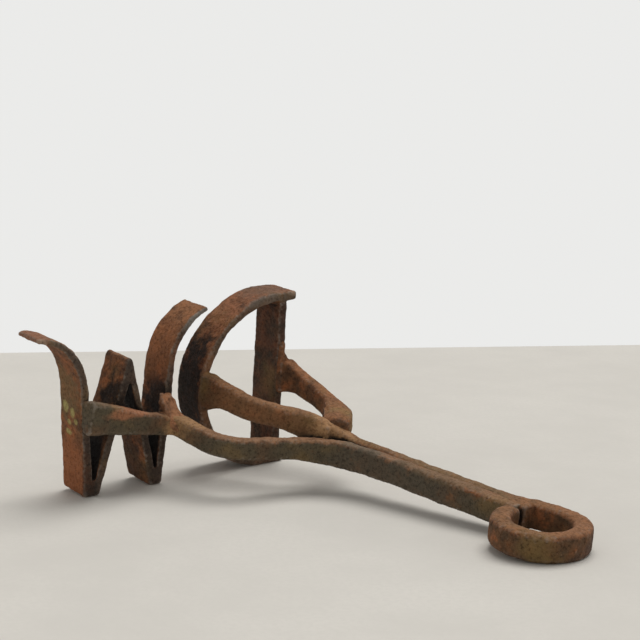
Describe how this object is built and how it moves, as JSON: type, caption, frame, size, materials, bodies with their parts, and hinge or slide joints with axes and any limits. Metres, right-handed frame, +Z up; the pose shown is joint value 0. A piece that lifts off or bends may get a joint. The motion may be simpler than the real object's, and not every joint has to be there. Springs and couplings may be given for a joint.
{
  "type": "branding iron",
  "caption": "Small hand-forged iron: a zigzag strip and a bow with an upright, set on edge and carried by a forked shank that ends in a rolled eye.",
  "frame": {"origin": "centre of the footprint, on the floor that the iron lies on", "axes": "+X runs from the front edges of the strips to the eye, +Y from the zigzag to the bow, +Z up"},
  "size_m": [0.3666, 0.2406, 0.1437],
  "materials": {
    "rust_brown": "rusted, matt",
    "rust_dark": "dark rust, matt",
    "rust_grey": "grey-brown rust, matt",
    "rust_orange": "orange rust, matt"
  },
  "bodies": {
    "root": {"zigzag_strip": "rust_brown", "bow_strip": "rust_dark", "upright_bar": "rust_dark", "front_bar": "rust_grey", "short_tine": "rust_orange", "back_bar_and_eye": "rust_orange", "rear_tine": "rust_brown"}
  },
  "joints": []
}
